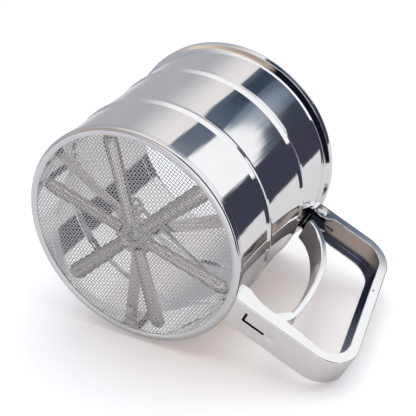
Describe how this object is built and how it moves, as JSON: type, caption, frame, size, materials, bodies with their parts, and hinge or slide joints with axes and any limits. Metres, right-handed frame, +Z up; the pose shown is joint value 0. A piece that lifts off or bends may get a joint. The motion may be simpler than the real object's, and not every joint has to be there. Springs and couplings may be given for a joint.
{
  "type": "flour sifter",
  "caption": "Steel flour sifter: beaded cup with rolled rim, woven screen, six-armed agitator driven by a sprung squeeze trigger inside a loop handle.",
  "frame": {"origin": "centre of the base ring's underside", "axes": "+Z up the cup's axis towards its mouth, +X towards the handle"},
  "size_m": [0.1532, 0.1032, 0.0928],
  "materials": {
    "polished_steel": "mirror-polished stainless steel",
    "pressed_steel": "bright pressed stainless steel",
    "turned_steel": "bright turned stainless steel",
    "wire_steel": "bright drawn wire",
    "screen_wire": "fine woven wire"
  },
  "bodies": {
    "frame": {"cup_body": "polished_steel", "base_ring": "polished_steel", "mesh_screen": "screen_wire", "thrust_washer": "turned_steel", "centre_pin": "turned_steel", "pin_rivet": "turned_steel", "spider_bracket": "pressed_steel", "handle_frame": "polished_steel", "trigger_pivot_pin": "turned_steel", "pivot_collar": "turned_steel", "pivot_washers": "turned_steel", "spring_sleeve": "turned_steel", "return_spring": "wire_steel"},
    "agitator": {"agitator_wheel": "pressed_steel", "agitator_bush": "turned_steel"},
    "trigger": {"trigger_lever": "polished_steel", "tail_pin": "turned_steel", "tail_spacers": "turned_steel"},
    "rod": {"pull_rod": "wire_steel", "rod_clip": "wire_steel"}
  },
  "joints": [
    {"name": "trigger_pivot", "type": "hinge", "parent": "frame", "child": "trigger", "pos_m": [0.0542, 0, 0.0819], "axis": [0, -1, 0], "range_deg": [0, 9.2], "stiffness_Nm_per_rad": 0.3, "springref_deg": -11.46, "deforming": ["return_spring"]},
    {"name": "rod_pivot", "type": "hinge", "parent": "trigger", "child": "rod", "pos_m": [0.066, 0.001, 0.0063], "axis": [0, -1, 0], "range_deg": [-7, 0]},
    {"name": "agitator_turn", "type": "hinge", "parent": "frame", "child": "agitator", "pos_m": [0, 0, 0], "axis": [0, 0, 1], "range_deg": [0, 49]}
  ],
  "couplings": [
    {"joint": "rod_pivot", "follows": "trigger_pivot", "ratio": -0.755},
    {"joint": "agitator_turn", "follows": "trigger_pivot", "ratio": 5.3}
  ]
}
